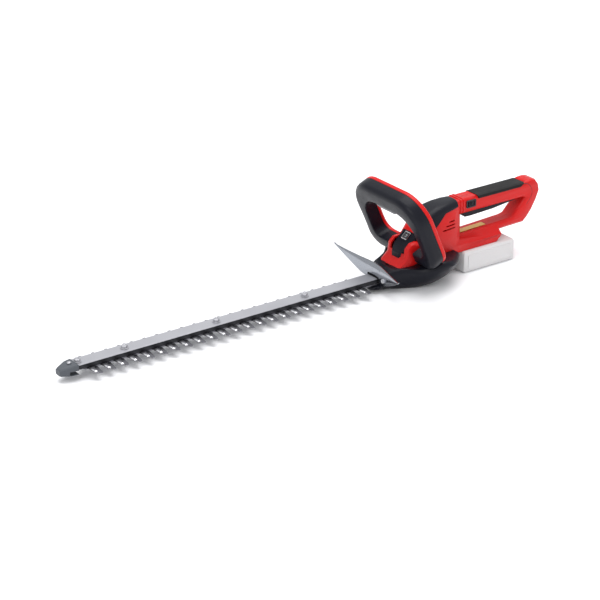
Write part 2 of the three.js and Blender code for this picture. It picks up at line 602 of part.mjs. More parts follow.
function drive() {
  const gearLow = BAR_Z + 1.7;
  const gear = join(
    upright(gearPlan(GEAR_TEETH, GEAR_R, GEAR_R - 2.4, GEAR_X), gearLow, gearLow + 8),
    rod('z', 5, 36, [GEAR_X, 0], 5, 16),
    rod('z', UPPER_Z - 0.1, gearLow + 1, [GEAR_X + THROW, 0], 8, 20),
    rod('z', LOWER_Z - 0.4, UPPER_Z + 0.1, [GEAR_X - THROW, 0], 8, 20),
  );
  place('drive_gear', gear, STEEL());

  const seat = (x, r) => rod('z', 0, 120, [x, 0], r, 20);
  const plate = upright(roundRect(-205, 0, 47, 24, 8), 29.5, 32.5);
  place('gearbox_plate', cut(plate, seat(GEAR_X, 5.4), seat(MOTOR_X, 9)), BRIGHT());
  const ring = (x, z0, z1, r, bore) => cut(rod('z', z0, z1, [x, 0], r, 20), seat(x, bore));
  place('gear_bearing', ring(GEAR_X, 32.8, 36, 9, 5.4), SILVER());
  place('gear_bush', ring(GEAR_X, 3.4, 8.4, 9, 5.4), COPPER());

  const can = rod('z', 44, 96, [MOTOR_X, 0], 21, 28);
  const windingRoom = rod('z', 46, 94, [MOTOR_X, 0], 18.5, 28);
  place('motor_can', cut(can, windingRoom, seat(MOTOR_X, 6)), STEEL());
  const rotor = join(
    upright(gearPlan(PINION_TEETH, PINION_R, PINION_R - 1.8, MOTOR_X), gearLow - 0.2, gearLow + 8),
    rod('z', gearLow - 0.2, 108, [MOTOR_X, 0], 2.5, 14),
    rod('z', 52, 88, [MOTOR_X, 0], 17, 24),
    rod('z', 100.5, 107, [MOTOR_X, 0], 17, 24, 12),
  );
  place('motor_rotor', rotor, COPPER());
  place('motor_bearing_lower', ring(MOTOR_X, 38.5, 43.7, 8, 2.9), SILVER());
  place('motor_bearing_upper', ring(MOTOR_X, 96.3, 100, 8, 2.9), SILVER());
}

// ---- battery and electrics ----------------------------------------------------------------
function battery() {
  const length = (PACK_FRONT - PACK_REAR) / 2;
  const middle = (PACK_FRONT + PACK_REAR) / 2;
  const tub = sideways(roundRect(middle, PACK_TOP / 2, length, PACK_TOP / 2, 5), PACK_HALF, 4);
  const rails = box(PACK_REAR + 26, -20.5, PACK_TOP - 4, PACK_FRONT - 2, 20.5, 50);
  const contactSlot = box(-334, -13, 43, PACK_FRONT + 5, 13, 60);
  const latchRoom = box(PACK_REAR - 5, -12.6, 20.4, PACK_REAR + 13, 12.6, 32.6);
  place('battery_pack', cut(join(tub, rails), contactSlot, latchRoom), PALE());
  const latch = box(PACK_REAR - 1.2, -12, 21, PACK_REAR + 8, 12, 32);
  place('battery_latch', latch, SLATE());

  place('terminal_block', box(-329, -11.6, 44, -301, 11.6, 54.8), BLACK());
  place('control_board', box(-378, -14, 55.4, -300, 14, 57), BOARD());
  const labelX = -334;
  const strip = new THREE.BoxGeometry(66, 12, 0.5).rotateY(Math.atan(DOCK_FALL));
  place('label_strip', solid(strip.translate(labelX, 3, dockTop(labelX) + 0.95)), AMBER());
}

cuttingSet();
tipGuard();
base(handGuard());
redBody();
housingScrews();
covers();
rearControls();
bail();
drive();
battery();

export default trimmer;
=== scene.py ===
"""The looks of a cordless hedge trimmer, modelled around its packed design.

Each class is one sub-assembly. Its fields are sizes in millimetres in the maker's drawing: x forward
from a datum near the middle of the tool, y to the user's left, z up from the floor. DRAWING turns the
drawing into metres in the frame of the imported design, where every finished piece lies.
"""

import logging
from dataclasses import dataclass, field
from enum import Enum
from math import cos, pi, radians, sin
from typing import Callable, Optional, Sequence

import bmesh
import bpy
from mathutils import Matrix, Vector


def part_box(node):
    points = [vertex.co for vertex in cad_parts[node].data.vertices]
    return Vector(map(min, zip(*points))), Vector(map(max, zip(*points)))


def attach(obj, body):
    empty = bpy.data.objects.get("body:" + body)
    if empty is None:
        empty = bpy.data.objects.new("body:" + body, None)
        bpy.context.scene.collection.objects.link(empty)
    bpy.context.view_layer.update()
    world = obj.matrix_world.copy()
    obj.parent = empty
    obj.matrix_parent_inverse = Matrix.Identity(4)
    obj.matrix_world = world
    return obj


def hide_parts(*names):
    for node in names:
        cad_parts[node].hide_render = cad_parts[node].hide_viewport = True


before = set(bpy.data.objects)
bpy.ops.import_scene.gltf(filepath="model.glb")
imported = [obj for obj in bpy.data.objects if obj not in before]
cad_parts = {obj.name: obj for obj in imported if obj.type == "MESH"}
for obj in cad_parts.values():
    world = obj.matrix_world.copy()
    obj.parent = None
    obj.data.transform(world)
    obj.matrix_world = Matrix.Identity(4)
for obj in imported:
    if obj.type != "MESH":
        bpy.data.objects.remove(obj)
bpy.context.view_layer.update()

logging.basicConfig(level=logging.INFO, format="%(name)s: %(message)s")
log = logging.getLogger("hedge_trimmer")

MM = 0.001
UP = Vector((0, 0, 1))
TIP_NOSE = 494.5  # x of the tip guard's nose on the drawing
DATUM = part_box("tip_guard")[1].x - TIP_NOSE * MM  # where the drawing's x = 0 lies in the frame
DRAWING = Matrix.Translation((DATUM, 0, 0)) @ Matrix.Scale(MM, 4)

Colour = tuple[float, float, float]
Point = tuple[float, float]
Spot = tuple[float, float, float]
Solid = bmesh.types.BMesh
NodeTree = bpy.types.NodeTree
Piece = bpy.types.Object


class Body(Enum):
    """The moving bodies of the design that new pieces ride on."""

    TOOL = "tool"
    UPPER_BLADE = "upper_blade"
    LOWER_BLADE = "lower_blade"
    TRIGGER = "trigger"
    LOCK_BUTTON = "lock_button"
    BAIL_BAR = "bail_bar"
    BATTERY = "battery"
    BATTERY_LATCH = "battery_latch"


class Texture(Enum):
    """The kinds of fine surface relief."""

    MOULDED = "moulded"
    RUBBER = "rubber"
    BRUSHED = "brushed"
    CAST = "cast"
    WOUND = "wound"


TONE_SCALE = 26.0  # noise scale of the tone drift
WEAR_SCALE = 60.0  # noise scale of the wear
WEAR_RANGE = (0.3, 0.7)  # noise values between which the gloss changes
CELL_SHARE = 0.5  # how much the cells add to the fine relief
COAT_ROUGHNESS = 0.12
BUMP_DEPTH = 0.0002  # in metres
PLAIN_STRETCH = (1, 1, 1)
RELIEF_STRETCH = {Texture.BRUSHED: (0.04, 1, 1), Texture.WOUND: (0.2, 0.2, 3)}


# ---- shader effects that several finishes share ----


def new_group(name: str, inputs: Sequence[tuple[str, str]],
              output: tuple[str, str]) -> NodeTree:
    """Starts a shader node group with named sockets.

    Args:
        name: The group's name.
        inputs: Pairs of socket name and socket type.
        output: Name and type of the one output.

    Returns:
        The group, holding its input and output nodes.
    """
    group = bpy.data.node_groups.new(name, "ShaderNodeTree")
    for label, kind in inputs:
        group.interface.new_socket(name=label, in_out="INPUT", socket_type=kind)
    group.interface.new_socket(name=output[0], in_out="OUTPUT", socket_type=output[1])
    group.nodes.new("NodeGroupInput")
    group.nodes.new("NodeGroupOutput")
    return group


def noise_in(group: NodeTree, detail: float) -> bpy.types.Node:
    """Adds a noise texture wired to the group's Vector and Scale inputs.

    Args:
        group: The node group.
        detail: Octaves of the noise.

    Returns:
        The noise node.
    """
    noise = group.nodes.new("ShaderNodeTexNoise")
    noise.inputs["Detail"].default_value = detail
    source = group.nodes["Group Input"]
    group.links.new(source.outputs["Vector"], noise.inputs["Vector"])
    group.links.new(source.outputs["Scale"], noise.inputs["Scale"])
    return noise


def tone_drift() -> NodeTree:
    """Builds the slow drift of a colour over a surface.

    Returns:
        The node group.
    """
    kinds = [("Vector", "NodeSocketVector"), ("Scale", "NodeSocketFloat"),
             ("Light", "NodeSocketColor"), ("Deep", "NodeSocketColor")]
    group = new_group("tone_drift", kinds, ("Color", "NodeSocketColor"))
    noise = noise_in(group, 4.0)
    mix = group.nodes.new("ShaderNodeMix")
    mix.data_type = "RGBA"
    source = group.nodes["Group Input"]
    group.links.new(noise.outputs["Fac"], mix.inputs["Factor"])
    group.links.new(source.outputs["Light"], mix.inputs["A"])
    group.links.new(source.outputs["Deep"], mix.inputs["B"])
    group.links.new(mix.outputs["Result"], group.nodes["Group Output"].inputs["Color"])
    return group


def handling_wear() -> NodeTree:
    """Builds the cloudy change of gloss that hands and cloths leave.

    Returns:
        The node group.
    """
    kinds = [("Vector", "NodeSocketVector"), ("Scale", "NodeSocketFloat"),
             ("Smooth", "NodeSocketFloat"), ("Rough", "NodeSocketFloat")]
    group = new_group("handling_wear", kinds, ("Roughness", "NodeSocketFloat"))
    noise = noise_in(group, 6.0)
    spread = group.nodes.new("ShaderNodeMapRange")
    spread.inputs["From Min"].default_value = WEAR_RANGE[0]
    spread.inputs["From Max"].default_value = WEAR_RANGE[1]
    source = group.nodes["Group Input"]
    group.links.new(noise.outputs["Fac"], spread.inputs["Value"])
    group.links.new(source.outputs["Smooth"], spread.inputs["To Min"])
    group.links.new(source.outputs["Rough"], spread.inputs["To Max"])
    group.links.new(spread.outputs["Result"], group.nodes["Group Output"].inputs["Roughness"])
    return group


def fine_relief() -> NodeTree:
    """Builds the fine grain of a moulded, cast or brushed skin.

    Returns:
        The node group.
    """
    kinds = [("Vector", "NodeSocketVector"), ("Scale", "NodeSocketFloat")]
    group = new_group("fine_relief", kinds, ("Height", "NodeSocketFloat"))
    noise = noise_in(group, 3.0)
    cells = group.nodes.new("ShaderNodeTexVoronoi")
    blend = group.nodes.new("ShaderNodeMath")
    blend.operation = "MULTIPLY_ADD"
    blend.inputs[1].default_value = CELL_SHARE
    source = group.nodes["Group Input"]
    group.links.new(source.outputs["Vector"], cells.inputs["Vector"])
    group.links.new(source.outputs["Scale"], cells.inputs["Scale"])
    group.links.new(cells.outputs["Distance"], blend.inputs[0])
    group.links.new(noise.outputs["Fac"], blend.inputs[2])
    group.links.new(blend.outputs["Value"], group.nodes["Group Output"].inputs["Height"])
    return group


def effect(material: bpy.types.Material, group: NodeTree, vector: bpy.types.NodeSocket,
           **values: object) -> bpy.types.Node:
    """Adds a shared effect to a material.

    Args:
        material: The material.
        group: The effect's node group.
        vector: What its Vector input follows.
        values: Its other inputs, by name.

    Returns:
        The effect's node.
    """
    node = material.node_tree.nodes.new("ShaderNodeGroup")
    node.node_tree = group
    for name, value in values.items():
        node.inputs[name].default_value = value
    material.node_tree.links.new(vector, node.inputs["Vector"])
    return node


TONE_DRIFT = tone_drift()
HANDLING_WEAR = handling_wear()
FINE_RELIEF = fine_relief()


@dataclass(frozen=True)
class Finish:
    """One surface finish and its procedural material."""

    name: str
    slot: str
    light: Colour
    deep: Colour
    smooth: float
    rough: float
    texture: Texture = Texture.MOULDED
    relief_scale: float = 900.0
    relief: float = 0.12
    metallic: float = 0.0
    coat: float = 0.0
    specular: float = 0.5

    def material(self) -> bpy.types.Material:
        """Gives the finish's material, building it the first time.

        Returns:
            The node-based material.
        """
        known = bpy.data.materials.get(self.name)
        if known is not None:
            return known
        material = bpy.data.materials.new(self.name)
        material.use_nodes = True
        material.diffuse_color = (*self.light, 1)
        nodes, links = material.node_tree.nodes, material.node_tree.links
        shader = nodes["Principled BSDF"]
        shader.inputs["Metallic"].default_value = self.metallic
        shader.inputs["Coat Weight"].default_value = self.coat
        shader.inputs["Coat Roughness"].default_value = COAT_ROUGHNESS
        shader.inputs["Specular IOR Level"].default_value = self.specular
        coords = nodes.new("ShaderNodeTexCoord").outputs["Object"]
        turn = nodes.new("ShaderNodeMapping")
        turn.inputs["Scale"].default_value = RELIEF_STRETCH.get(self.texture, PLAIN_STRETCH)
        links.new(coords, turn.inputs["Vector"])
        turned = turn.outputs["Vector"]
        tone = effect(material, TONE_DRIFT, coords, Scale=TONE_SCALE,
                      Light=(*self.light, 1), Deep=(*self.deep, 1))
        links.new(tone.outputs["Color"], shader.inputs["Base Color"])
        wear = effect(material, HANDLING_WEAR, turned, Scale=WEAR_SCALE,
                      Smooth=self.smooth, Rough=self.rough)
        links.new(wear.outputs["Roughness"], shader.inputs["Roughness"])
        grain = effect(material, FINE_RELIEF, turned, Scale=self.relief_scale)
        bump = nodes.new("ShaderNodeBump")
        bump.inputs["Strength"].default_value = self.relief
        bump.inputs["Distance"].default_value = BUMP_DEPTH
        links.new(grain.outputs["Height"], bump.inputs["Height"])
        links.new(bump.outputs["Normal"], shader.inputs["Normal"])
        return material


RED_NYLON = Finish("red_nylon", "housing_red", (0.607, 0.01, 0.009), (0.518, 0.007, 0.007), 0.3, 0.42,
                   specular=0.22)
CHARCOAL = Finish("charcoal_nylon", "shell_dark", (0.0085, 0.009, 0.0145), (0.006, 0.0065, 0.011), 0.3, 0.42,
                  relief=0.2, specular=0.17)
PADDLE_GREY = Finish("paddle_grey", "shell_dark", (0.042, 0.044, 0.054), (0.033, 0.035, 0.043), 0.2, 0.3,
                     relief=0.08)
SOFT_BLACK = Finish("soft_grip_rubber", "soft_grip", (0.009, 0.0085, 0.009), (0.006, 0.0055, 0.006),
                    0.45, 0.6, Texture.RUBBER, 700.0, 0.25, specular=0.22)
CONTROL_BLACK = Finish("control_black", "control_black", (0.011, 0.012, 0.014), (0.007, 0.008, 0.01),
                       0.35, 0.5)
RAIL_SATIN = Finish("rail_satin", "rail_bright", (0.518, 0.518, 0.547), (0.446, 0.446, 0.475), 0.34, 0.46,
                    Texture.BRUSHED, 1600.0, 0.1, metallic=0.85)
BAR_BLACK = Finish("bar_black", "bar_black", (0.01, 0.01, 0.013), (0.007, 0.007, 0.009), 0.32, 0.45,
                   Texture.BRUSHED, 1400.0, 0.1, metallic=0.3)
TOOTH_STEEL = Finish("tooth_steel", "blade_steel", (0.24, 0.24, 0.264), (0.16, 0.16, 0.176), 0.34, 0.5,
                     Texture.BRUSHED, 1800.0, 0.15, metallic=1.0)
GROUND_EDGE = Finish("ground_edge", "blade_steel", (0.774, 0.774, 0.792), (0.666, 0.666, 0.693), 0.16, 0.28,
                     Texture.BRUSHED, 2200.0, 0.1, metallic=1.0)
ZINC = Finish("zinc_plate", "fastener", (0.56, 0.56, 0.576), (0.464, 0.464, 0.496), 0.25, 0.4,
              Texture.CAST, 1500.0, 0.08, metallic=0.9)
GUARD_GREY = Finish("guard_grey", "guard_sheet", (0.338, 0.353, 0.382), (0.288, 0.302, 0.331), 0.16, 0.24,
                    Texture.BRUSHED, 1200.0, 0.05, metallic=0.95)
SLATE = Finish("slate_nylon", "tip_slate", (0.068, 0.077, 0.09), (0.053, 0.06, 0.071), 0.4, 0.55)
SATIN_CHROME = Finish("satin_chrome", "badge_silver", (0.68, 0.689, 0.705), (0.595, 0.603, 0.62), 0.18, 0.3,
                      Texture.CAST, 1500.0, 0.05, metallic=1.0)
MACHINED = Finish("machined_steel", "steel_dark", (0.34, 0.34, 0.36), (0.25, 0.25, 0.27), 0.28, 0.42,
                  Texture.CAST, 1300.0, 0.1, metallic=1.0)
COPPER = Finish("copper_winding", "winding", (0.62, 0.3, 0.15), (0.46, 0.2, 0.09), 0.25, 0.4,
                Texture.WOUND, 1200.0, 0.3, metallic=0.9)
CASTING = Finish("cast_alloy", "casting", (0.6, 0.61, 0.63), (0.5, 0.51, 0.53), 0.4, 0.6,
                 Texture.CAST, 900.0, 0.3, metallic=0.8)
BOARD_GREEN = Finish("board_green", "board_green", (0.03, 0.17, 0.07), (0.02, 0.12, 0.05), 0.3, 0.45)
PACK_PALE = Finish("pack_pale", "pack_pale", (0.48, 0.472, 0.48), (0.432, 0.424, 0.432), 0.3, 0.42, coat=0.1)
LABEL_AMBER = Finish("label_amber", "label_amber", (0.704, 0.378, 0.079), (0.616, 0.317, 0.062), 0.25, 0.38)
FLOOR_WHITE = Finish("studio_floor", "", (0.93, 0.93, 0.94), (0.91, 0.91, 0.92), 0.6, 0.8,
                     relief_scale=60.0, relief=0.02)


# ---- modelling helpers ----


CORNERS = ((-1, -1), (1, -1), (1, 1), (-1, 1))  # the corners of a square, in order


def face_outwards(bm: Solid) -> None:
    """Turns every face of a solid outwards.

    Args:
        bm: The solid.
    """
    bmesh.ops.recalc_face_normals(bm, faces=bm.faces)


def prism(outline: Sequence[Vector], depth: Vector, corner: float = 0.0, steps: int = 4) -> Solid:
    """Pushes a flat outline into a solid, with its corners rounded first.

    Args:
        outline: Corners in order.
        depth: How far and which way the outline is pushed.
        corner: Radius of the outline's corners.
        steps: Segments of each round corner.

    Returns:
        The closed solid.
    """
    bm = bmesh.new()
    face = bm.faces.new([bm.verts.new(p) for p in outline])
    if corner:
        bmesh.ops.bevel(bm, geom=list(bm.verts), offset=corner, segments=steps, profile=0.5,
                        affect="VERTICES", material=-1)
        face = bm.faces[:][0]
    grown = bmesh.ops.extrude_face_region(bm, geom=[face])
    moved = [g for g in grown["geom"] if isinstance(g, bmesh.types.BMVert)]
    bmesh.ops.translate(bm, verts=moved, vec=depth)
    face_outwards(bm)
    return bm


def soften(bm: Solid, width: float, segments: int = 3, angle: float = 35.0,
           choose: Optional[Callable[[bmesh.types.BMEdge], bool]] = None) -> None:
    """Rounds the sharp edges of a solid.

    Args:
        bm: The solid.
        width: Width of the rounding.
        segments: Its segments.
        angle: Edges that turn less than this, in degrees, are left.
        choose: Picks among the sharp edges; all of them where it is left out.
    """
    bm.normal_update()
    limit = radians(angle)
    edges = [e for e in bm.edges if len(e.link_faces) == 2 and e.calc_face_angle(0.0) > limit]
    if choose is not None:
        edges = [e for e in edges if choose(e)]
    bmesh.ops.bevel(bm, geom=edges, offset=width, segments=segments, profile=0.5, affect="EDGES",
                    material=-1, clamp_overlap=True)


def loft(rings: Sequence[Sequence[Vector]], capped: bool = True, closed: bool = True) -> Solid:
    """Joins sections of equal length into a skin.

    Args:
        rings: The sections in order.
        capped: Whether the first and last sections are filled.
        closed: Whether each section is a closed loop.

    Returns:
        The skin.
    """
    bm = bmesh.new()
    rails = []
    for ring in rings:
        verts = [bm.verts.new(p) for p in ring]
        pairs = list(zip(verts, verts[1:]))
        if closed:
            pairs.append((verts[-1], verts[0]))
        rails.append([bm.edges.new(pair) for pair in pairs])
    for first, second in zip(rails, rails[1:]):
        bmesh.ops.bridge_loops(bm, edges=first + second)
    if capped:
        for rail in (rails[0], rails[-1]):
            bmesh.ops.contextual_create(bm, geom=rail)
    face_outwards(bm)
    return bm


def merged(*parts: Solid) -> Solid:
    """Puts several solids into one mesh.

    Args:
        parts: The solids, which are used up.

    Returns:
        One mesh that holds them all.
    """
    whole = bmesh.new()
    for part in parts:
        carrier = bpy.data.meshes.new("carrier")
        part.to_mesh(carrier)
        part.free()
        whole.from_mesh(carrier)
        bpy.data.meshes.remove(carrier)
    return whole


def drum(radius: float, low: float, high: float, sides: int = 32,
         top: Optional[float] = None) -> Solid:
    """Makes an upright drum on the z axis.

    Args:
        radius: Radius at the bottom.
        low: Height of the bottom.
        high: Height of the top.
        sides: Number of sides.
        top: Radius at the top, the same as the bottom's where left out.

    Returns:
        The closed solid.
    """
    bm = bmesh.new()
    bmesh.ops.create_cone(bm, cap_ends=True, segments=sides, radius1=radius,
                          radius2=radius if top is None else top, depth=high - low,
                          matrix=Matrix.Translation((0, 0, (low + high) / 2)))
    return bm


def recess(bm: Solid, toward: Vector, rim: float, depth: float) -> bmesh.types.BMFace:
    """Sinks the outermost face on one side of a solid, with a rim left round it.

    Args:
        bm: The solid.
        toward: The way that the face looks.
        rim: Width of the rim.
        depth: How far the face sinks.

    Returns:
        The sunk face.
    """
    face = max(bm.faces, key=lambda f: f.calc_center_median() @ toward)
    bmesh.ops.inset_region(bm, faces=[face], thickness=rim, use_even_offset=True)
    bmesh.ops.translate(bm, verts=face.verts, vec=toward * -depth)
    return face


def socket_screw(radius: float, height: float) -> Solid:
    """Makes a screw head with rounded rim and a round recess, standing on z = 0.

    Args:
        radius: Radius of the head.
        height: Its height.

    Returns:
        The closed solid.
    """
    bm = drum(radius, 0, height, 24)
    rim = [e for e in bm.edges if all(v.co.z > height - 0.01 for v in e.verts)]
    bmesh.ops.bevel(bm, geom=rim, offset=height * 0.35, segments=3, profile=0.5, affect="EDGES",
                    material=-1)
    recess(bm, UP, radius * 0.28, height * 0.5)
    return bm


def smooth_path(points: Sequence[Sequence[float]], steps: int) -> list[tuple[float, ...]]:
    """Runs a smooth curve through rows of numbers, as a spline batten does.

    Args:
        points: The rows that the curve passes through.
        steps: Rows from one given row to the next.

    Returns:
        The rows along the curve, the given ones among them.
    """
    rows = [tuple(p) for p in points]
    padded = [rows[0]] + rows + [rows[-1]]
    path: list[tuple[float, ...]] = []
    for i in range(1, len(padded) - 2):
        p0, p1, p2, p3 = padded[i - 1:i + 3]
        for k in range(steps):
            t = k / steps
            path.append(tuple(
                0.5 * (2 * b + (c - a) * t + (2 * a - 5 * b + 4 * c - d) * t ** 2
                       + (3 * b - a - 3 * c + d) * t ** 3)
                for a, b, c, d in zip(p0, p1, p2, p3)))
    path.append(rows[-1])
    return path


def place(name: str, bm: Solid, finish: Finish, body: Body = Body.TOOL,
          stands_for: Sequence[str] = (), turn: Matrix = DRAWING, crease: float = 32.0) -> Piece:
    """Turns a drawing solid into a finished piece of the tool.

    Args:
        name: The piece's name.
        bm: Its mesh, which is used up.
        finish: Its surface finish.
        body: The body it moves with.
        stands_for: Design nodes that it replaces.
        turn: Takes the mesh into the frame.
        crease: Edges that turn more than this, in degrees, stay sharp to the eye.

    Returns:
        The piece.
    """
    bmesh.ops.transform(bm, matrix=turn, verts=bm.verts)
    mesh = bpy.data.meshes.new(name)
    for face in bm.faces:
        face.smooth = True
    bm.to_mesh(mesh)
    bm.free()
    mesh.set_sharp_from_angle(angle=radians(crease))
    mesh.materials.append(finish.material())
    piece = bpy.data.objects.new(name, mesh)
    bpy.context.scene.collection.objects.link(piece)
    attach(piece, body.value)
    if stands_for:
        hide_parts(*stands_for)
    log.info("%s: %d faces", name, len(mesh.polygons))
    return piece


def dress(node: str, finish: Finish) -> None:
    """Gives a design node its finish.

    Args:
        node: The node's name.
        finish: The finish.
    """
    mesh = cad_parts[node].data
    mesh.materials.clear()
    mesh.materials.append(finish.material())
    log.info("%s: dressed in %s", node, finish.name)


def copy_of(node: str) -> Solid:
    """Copies a design node's mesh, welded and with its flat faces whole, still in metres.

    Args:
        node: The node's name.

    Returns:
        The copy.
    """
    bm = bmesh.new()
    bm.from_mesh(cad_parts[node].data)
    bmesh.ops.remove_doubles(bm, verts=bm.verts, dist=2e-6)
    bmesh.ops.dissolve_limit(bm, angle_limit=radians(0.4), verts=bm.verts, edges=bm.edges)
    return bm


def finished_copy(node: str, finish: Finish, body: Body = Body.TOOL, rounding: float = 0.0,
                  crease: float = 32.0) -> Piece:
    """Replaces a design node with a copy whose edges are eased and whose curves shade smoothly.

    Args:
        node: The node's name.
        finish: The finish.
        body: The body it moves with.
        rounding: Width of the eased edges in millimetres.
        crease: Edges that turn more than this, in degrees, stay sharp to the eye.

    Returns:
        The piece.
    """
    piece = place(f"{node}_finished", copy_of(node), finish, body, [node], Matrix.Identity(4), crease)
    if rounding:
        ease = piece.modifiers.new("eased_edges", "BEVEL")
        ease.width = rounding * MM
        ease.segments = 2
        ease.limit_method = "ANGLE"
        ease.angle_limit = radians(crease + 3)
    return piece


# ---- cutting set ----


@dataclass
class Blade:
    """One reciprocating blade: a straight back with ground teeth along both edges."""

    name: str
    body: Body
    reach: float
    shift: float
    faces_up: bool
    pitch: float = 24.0
    teeth: int = 23
    first_tooth: float = 437.5
    back_half: float = 11.0
    base_half: float = 6.0
    tip_half: float = 2.8
    thickness: float = 2.5
    grind: float = 2.2
    land: float = 1.0
    gear_x: float = -192.0
    ring_half: Point = (24.0, 16.0)
    bolts: tuple[float, ...] = (372.7, 197.5, 19.9)
    slot_half: Point = (11.4, 3.3)
    hole_radii: Point = (12.0, 3.2)  # corners of the ring's hole and of the bolt slots
    ring_rear: tuple[Point, ...] = ((-30, 12), (-21, 21), (22, 21))  # from the gear's middle
    ring_front: float = 31.0
    tooth_fall: float = 1.2  # the chamfer at a tooth's end, across and along the blade
    tooth_run: float = 1.3
    nose: Point = (3.0, 4.0)

    def edge(self) -> list[Point]:
        """Gives the left half of the plan from the rear to the tip.

        Returns:
            The outline's points.
        """
        rim: list[Point] = [(self.gear_x + x, y) for x, y in self.ring_rear]
        rim.append((self.gear_x + self.ring_front, self.back_half))
        shoulder, run = self.reach - self.tooth_fall, self.tooth_run
        for i in range(self.teeth - 1, -1, -1):
            x = self.first_tooth - i * self.pitch + self.shift
            rim += [(x - self.base_half, self.back_half), (x - self.tip_half, shoulder),
                    (x - self.tip_half + run, self.reach), (x + self.tip_half - run, self.reach),
                    (x + self.tip_half, shoulder), (x + self.base_half, self.back_half)]
        front = self.first_tooth + self.pitch / 2
        return rim + [(front, self.back_half), (front + self.nose[0], self.back_half - self.nose[1])]

    @staticmethod
    def stadium(x: float, half_x: float, half_y: float, radius: float) -> list[Point]:
        """Gives a long hole with round ends.

        Args:
            x: Its middle.
            half_x: Half its length.
            half_y: Half its width.
            radius: Corner radius.

        Returns:
            Its outline.
        """
        centres = [(1, 1, 0), (-1, 1, 90), (-1, -1, 180), (1, -1, 270)]
        return [(x + sx * (half_x - radius) + radius * cos(radians(start + a)),
                 sy * (half_y - radius) + radius * sin(radians(start + a)))
                for sx, sy, start in centres for a in (0, 30, 60, 90)]

    def build(self) -> Piece:
        """Models the blade from its plan, grinds its edges and places it.

        Returns:
            The blade.
        """
        low, high = (c.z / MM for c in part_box(self.name))
        rim = self.edge()
        ring_round, slot_round = self.hole_radii
        loops = [rim + [(x, -y) for x, y in reversed(rim)],
                 self.stadium(self.gear_x, *self.ring_half, ring_round)]
        loops += [self.stadium(x, *self.slot_half, slot_round) for x in self.bolts]
        bm = bmesh.new()
        edges = []
        for loop in loops:
            verts = [bm.verts.new((x, y, low)) for x, y in loop]
            edges += [bm.edges.new(pair) for pair in zip(verts, verts[1:] + verts[:1])]
        bmesh.ops.triangle_fill(bm, use_beauty=True, edges=edges)
        grown = bmesh.ops.extrude_face_region(bm, geom=list(bm.faces))
        top = [g for g in grown["geom"] if isinstance(g, bmesh.types.BMFace)]
        lifted = {v for f in top for v in f.verts}
        bmesh.ops.translate(bm, verts=list(lifted), vec=(0, 0, self.land))
        face_outwards(bm)
        ground = bmesh.ops.inset_region(bm, faces=top, thickness=self.grind, use_even_offset=True,
                                        use_boundary=True)
        raised = {v for f in top for v in f.verts}
        bmesh.ops.translate(bm, verts=list(raised), vec=(0, 0, high - low - self.land))
        for face in ground["faces"]:
            face.material_index = 1
        if not self.faces_up:
            bmesh.ops.scale(bm, vec=(1, 1, -1), verts=bm.verts,
                            space=Matrix.Translation((0, 0, -(low + high) / 2)))
        face_outwards(bm)
        piece = place(f"{self.name}_ground", bm, TOOTH_STEEL, self.body, [self.name], crease=12)
        piece.data.materials.append(GROUND_EDGE.material())
        return piece


@dataclass
class CuttingSet:
    """The two blades, the guide bar with its bright rail, and the bolts."""

    bolt_x: tuple[float, ...] = (459.0, 372.7, 197.5, 19.9)
    nut_radius: float = 5.4
    stud_radius: float = 2.6
    above_rail: float = 7.5
    stud_show: float = 2.2
    washer_height: float = 1.0
    washer_over: float = 1.6  # how far the washer stands out past the nut
    head_radius: float = 6.0
    head_height: float = 2.4

    def build(self) -> None:
        """Models and dresses the whole set."""
        Blade("lower_blade", Body.LOWER_BLADE, 36.0, -2.0, False).build()
        Blade("upper_blade", Body.UPPER_BLADE, 31.0, 4.5, True).build()
        finished_copy("guide_bar", BAR_BLACK, rounding=0.5)
        finished_copy("cover_rail", RAIL_SATIN, rounding=0.4)
        for number, x in enumerate(self.bolt_x, start=1):
            self.bolt(f"blade_bolt_{number}", x)

    def bolt(self, node: str, x: float) -> None:
        """Models one bolt with its washer, nut and head.

        Args:
            node: The design node it stands for.
            x: Its place along the bar.
        """
        low, high = (c.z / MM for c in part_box(node))
        seat = high - self.above_rail
        washer = drum(self.nut_radius + self.washer_over, seat, seat + self.washer_height, 32)
        soften(washer, 0.3, 2)
        nut = drum(self.nut_radius, seat + self.washer_height, high - self.stud_show, 6)
        level = [e for e in nut.edges if abs(e.verts[0].co.z - e.verts[1].co.z) < 0.1]
        bmesh.ops.bevel(nut, geom=level, offset=0.7, segments=2, profile=0.5, affect="EDGES", material=-1)
        stud = drum(self.stud_radius, low + 1.5, high, 20)
        soften(stud, 0.5, 2)
        parts = [washer, nut, stud]
        if node != "blade_bolt_1":
            head = drum(self.head_radius, low, low + self.head_height, 24)
            soften(head, 0.6, 2)
            parts.append(head)
        whole = merged(*parts)
        bmesh.ops.translate(whole, verts=whole.verts, vec=(x, 0, 0))
        place(f"{node}_plated", whole, ZINC, stands_for=[node])


# ---- guards ----


SCREW_HEAD = 2.6  # the greatest height of a guard screw's head


